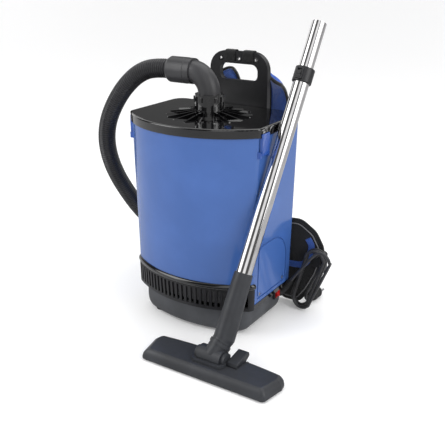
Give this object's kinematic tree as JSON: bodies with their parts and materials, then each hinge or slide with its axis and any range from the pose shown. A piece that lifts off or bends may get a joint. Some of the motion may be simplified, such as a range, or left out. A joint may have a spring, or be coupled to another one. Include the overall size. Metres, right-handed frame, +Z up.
{
  "type": "backpack vacuum cleaner",
  "caption": "Backpack vacuum cleaner: D-shaped canister on a padded harness, ribbed suction hose, telescopic wand and flat floor head.",
  "frame": {"origin": "on the floor under the middle of the canister, in the plane of its feet", "axes": "+X to the machine's right seen from its front, +Y towards the wearer's back, +Z up"},
  "size_m": [0.6383, 0.6042, 0.6729],
  "materials": {
    "housing_blue": "smooth glossy moulding",
    "lid_black": "polished",
    "moulded_black": "satin moulding",
    "elbow_black": "fine-grained",
    "latch_blue": "satin",
    "tub_grey": "fine-grained",
    "tool_grey": "fine-grained",
    "chrome_tube": "polished",
    "button_black": "satin",
    "sole": "plain",
    "rubber": "matt",
    "bristle": "bristle",
    "foam": "open foam",
    "bag": "fleece",
    "motor_metal": "cast",
    "fan_plastic": "plain",
    "screw_steel": "zinc plated",
    "strap_blue": "woven with black binding",
    "belt_black": "woven with black binding",
    "webbing": "woven tape",
    "switch_red": "smooth",
    "lead": "smooth sheath",
    "hose": "ribbed"
  },
  "bodies": {
    "machine": {"housing_shell": "housing_blue", "side_cover_right": "housing_blue", "side_cover_left": "housing_blue", "base_trim": "lid_black", "grille_lip": "lid_black", "motor_deck": "moulded_black", "switch_bezel": "moulded_black", "cord_hook": "moulded_black", "wand_collar": "moulded_black", "harness_buckles": "moulded_black", "back_plate": "moulded_black", "exhaust_grille": "moulded_black", "hose_end_cuff": "elbow_black", "latch_brackets": "latch_blue", "base_tub": "tub_grey", "wand_socket": "tool_grey", "wand_tube_lower": "chrome_tube", "curved_handle": "chrome_tube", "plate_eyelets": "chrome_tube", "base_feet": "rubber", "motor_seal": "rubber", "cord_gland": "rubber", "exhaust_filter": "foam", "filter_bag": "bag", "motor_can": "motor_metal", "fan_shroud": "fan_plastic", "case_screws": "screw_steel", "shoulder_strap_right": "strap_blue", "shoulder_strap_left": "strap_blue", "hip_belt_right": "belt_black", "hip_belt_left": "belt_black", "back_pad": "belt_black", "harness_webbing": "webbing", "lift_loops": "webbing", "mains_cord": "lead", "cord_hank": "lead", "mains_plug": "lead", "suction_hose": "hose"},
    "lid": {"lid": "lid_black", "lid_gasket": "rubber", "inlet_flange": "moulded_black", "elbow": "elbow_black"},
    "hose_cuff": {"hose_cuff": "elbow_black"},
    "ring_nut": {"ring_nut": "moulded_black"},
    "latch_right": {"latch_right": "latch_blue"},
    "latch_left": {"latch_left": "latch_blue"},
    "impeller": {"impeller": "fan_plastic"},
    "rocker_switch": {"rocker_switch": "switch_red"},
    "air_slider": {"air_slider": "elbow_black"},
    "wand_upper": {"wand_tube_upper": "chrome_tube"},
    "telescope_button": {"telescope_button": "button_black"},
    "neck": {"neck_tube": "tool_grey"},
    "head": {"head_cover": "tool_grey", "sole_plate": "sole"},
    "pedal": {"pedal": "tool_grey"},
    "brushes": {"brush_strips": "bristle"},
    "roller_left": {"roller_left": "rubber"},
    "roller_right": {"roller_right": "rubber"}
  },
  "joints": [
    {"name": "lid_lift", "type": "slide", "parent": "machine", "child": "lid", "axis": [0, 0, 1], "range_m": [0, 0.09], "deforming": ["suction_hose"]},
    {"name": "cuff_swivel", "type": "hinge", "parent": "lid", "child": "hose_cuff", "pos_m": [-0.07, 0.003, 0.564], "axis": [1, 0, 0], "continuous": true},
    {"name": "ring_nut_turn", "type": "hinge", "parent": "lid", "child": "ring_nut", "pos_m": [0.006, 0.003, 0.5], "axis": [0, 0, 1], "range_deg": [0, 90]},
    {"name": "latch_right_open", "type": "hinge", "parent": "machine", "child": "latch_right", "pos_m": [0.1662, -0.038, 0.42], "axis": [0, 1, 0], "range_deg": [0, 60]},
    {"name": "latch_left_open", "type": "hinge", "parent": "machine", "child": "latch_left", "pos_m": [-0.1662, -0.038, 0.42], "axis": [0, -1, 0], "range_deg": [0, 60]},
    {"name": "impeller_spin", "type": "hinge", "parent": "machine", "child": "impeller", "pos_m": [0, 0.02, 0.1], "axis": [0, 0, 1], "continuous": true},
    {"name": "switch_rock", "type": "hinge", "parent": "machine", "child": "rocker_switch", "pos_m": [0.1435, 0.075, 0.052], "axis": [0, 0, 1], "range_deg": [-6, 6]},
    {"name": "air_slide", "type": "slide", "parent": "machine", "child": "air_slider", "axis": [-0.945, 0.3271, 0], "range_m": [0, 0.015]},
    {"name": "telescope", "type": "slide", "parent": "machine", "child": "wand_upper", "axis": [0.05, 0.4587, 0.8872], "range_m": [-0.085, 0.28]},
    {"name": "telescope_release", "type": "slide", "parent": "machine", "child": "telescope_button", "axis": [0.05, 0.4587, 0.8872], "range_m": [0, 0.0048], "stiffness_N_per_m": 400, "springref_m": -0.002},
    {"name": "neck_swivel", "type": "hinge", "parent": "machine", "child": "neck", "pos_m": [0.153, -0.212, 0.033], "axis": [0.2425, 0.6341, 0.7342], "range_deg": [-20, 20]},
    {"name": "head_pitch", "type": "hinge", "parent": "neck", "child": "head", "pos_m": [0.153, -0.212, 0.033], "axis": [1, 0, 0], "range_deg": [-38, 15]},
    {"name": "pedal_rock", "type": "hinge", "parent": "head", "child": "pedal", "pos_m": [0.201, -0.192, 0.025], "axis": [1, 0, 0], "range_deg": [0, 10]},
    {"name": "brush_drop", "type": "slide", "parent": "head", "child": "brushes", "axis": [0, 0, -1], "range_m": [0, 0.005]},
    {"name": "roller_left_spin", "type": "hinge", "parent": "head", "child": "roller_left", "pos_m": [0.05, -0.19, 0.0065], "axis": [1, 0, 0], "continuous": true},
    {"name": "roller_right_spin", "type": "hinge", "parent": "head", "child": "roller_right", "pos_m": [0.256, -0.19, 0.0065], "axis": [1, 0, 0], "continuous": true}
  ],
  "couplings": [
    {"joint": "brush_drop", "follows": "pedal_rock", "m_per_rad": 0.028648}
  ]
}
